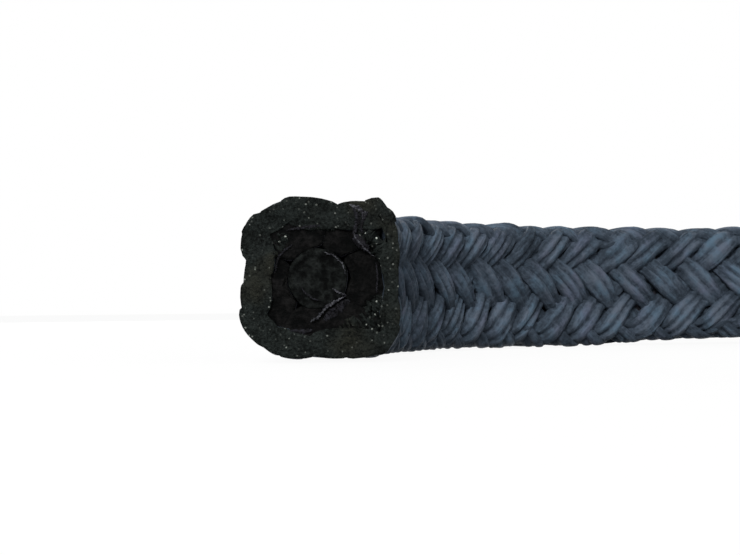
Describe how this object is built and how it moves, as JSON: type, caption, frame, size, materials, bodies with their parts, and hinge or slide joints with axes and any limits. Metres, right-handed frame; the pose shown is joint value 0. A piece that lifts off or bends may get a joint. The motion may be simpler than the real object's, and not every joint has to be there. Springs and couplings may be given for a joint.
{
  "type": "gland packing ring",
  "caption": "Open ring of square braided gland packing with butt-cut ends, pushed round a shaft to seal its stuffing box.",
  "frame": {"origin": "on the ring's axis, in the plane that its lower side lies on", "axes": "+Z along the shaft that the ring seals; the mouth between the cut ends faces -X and -Y"},
  "size_m": [0.1004, 0.1004, 0.012],
  "materials": {
    "braid": "graphite-filled yarn with a soft gloss",
    "core": "dull charcoal yarn"
  },
  "bodies": {
    "root": {"braided_jacket": "braid", "core_centre_strand": "core", "core_strand_1": "core", "core_strand_2": "core", "core_strand_3": "core", "core_strand_4": "core", "core_strand_5": "core"}
  },
  "joints": []
}
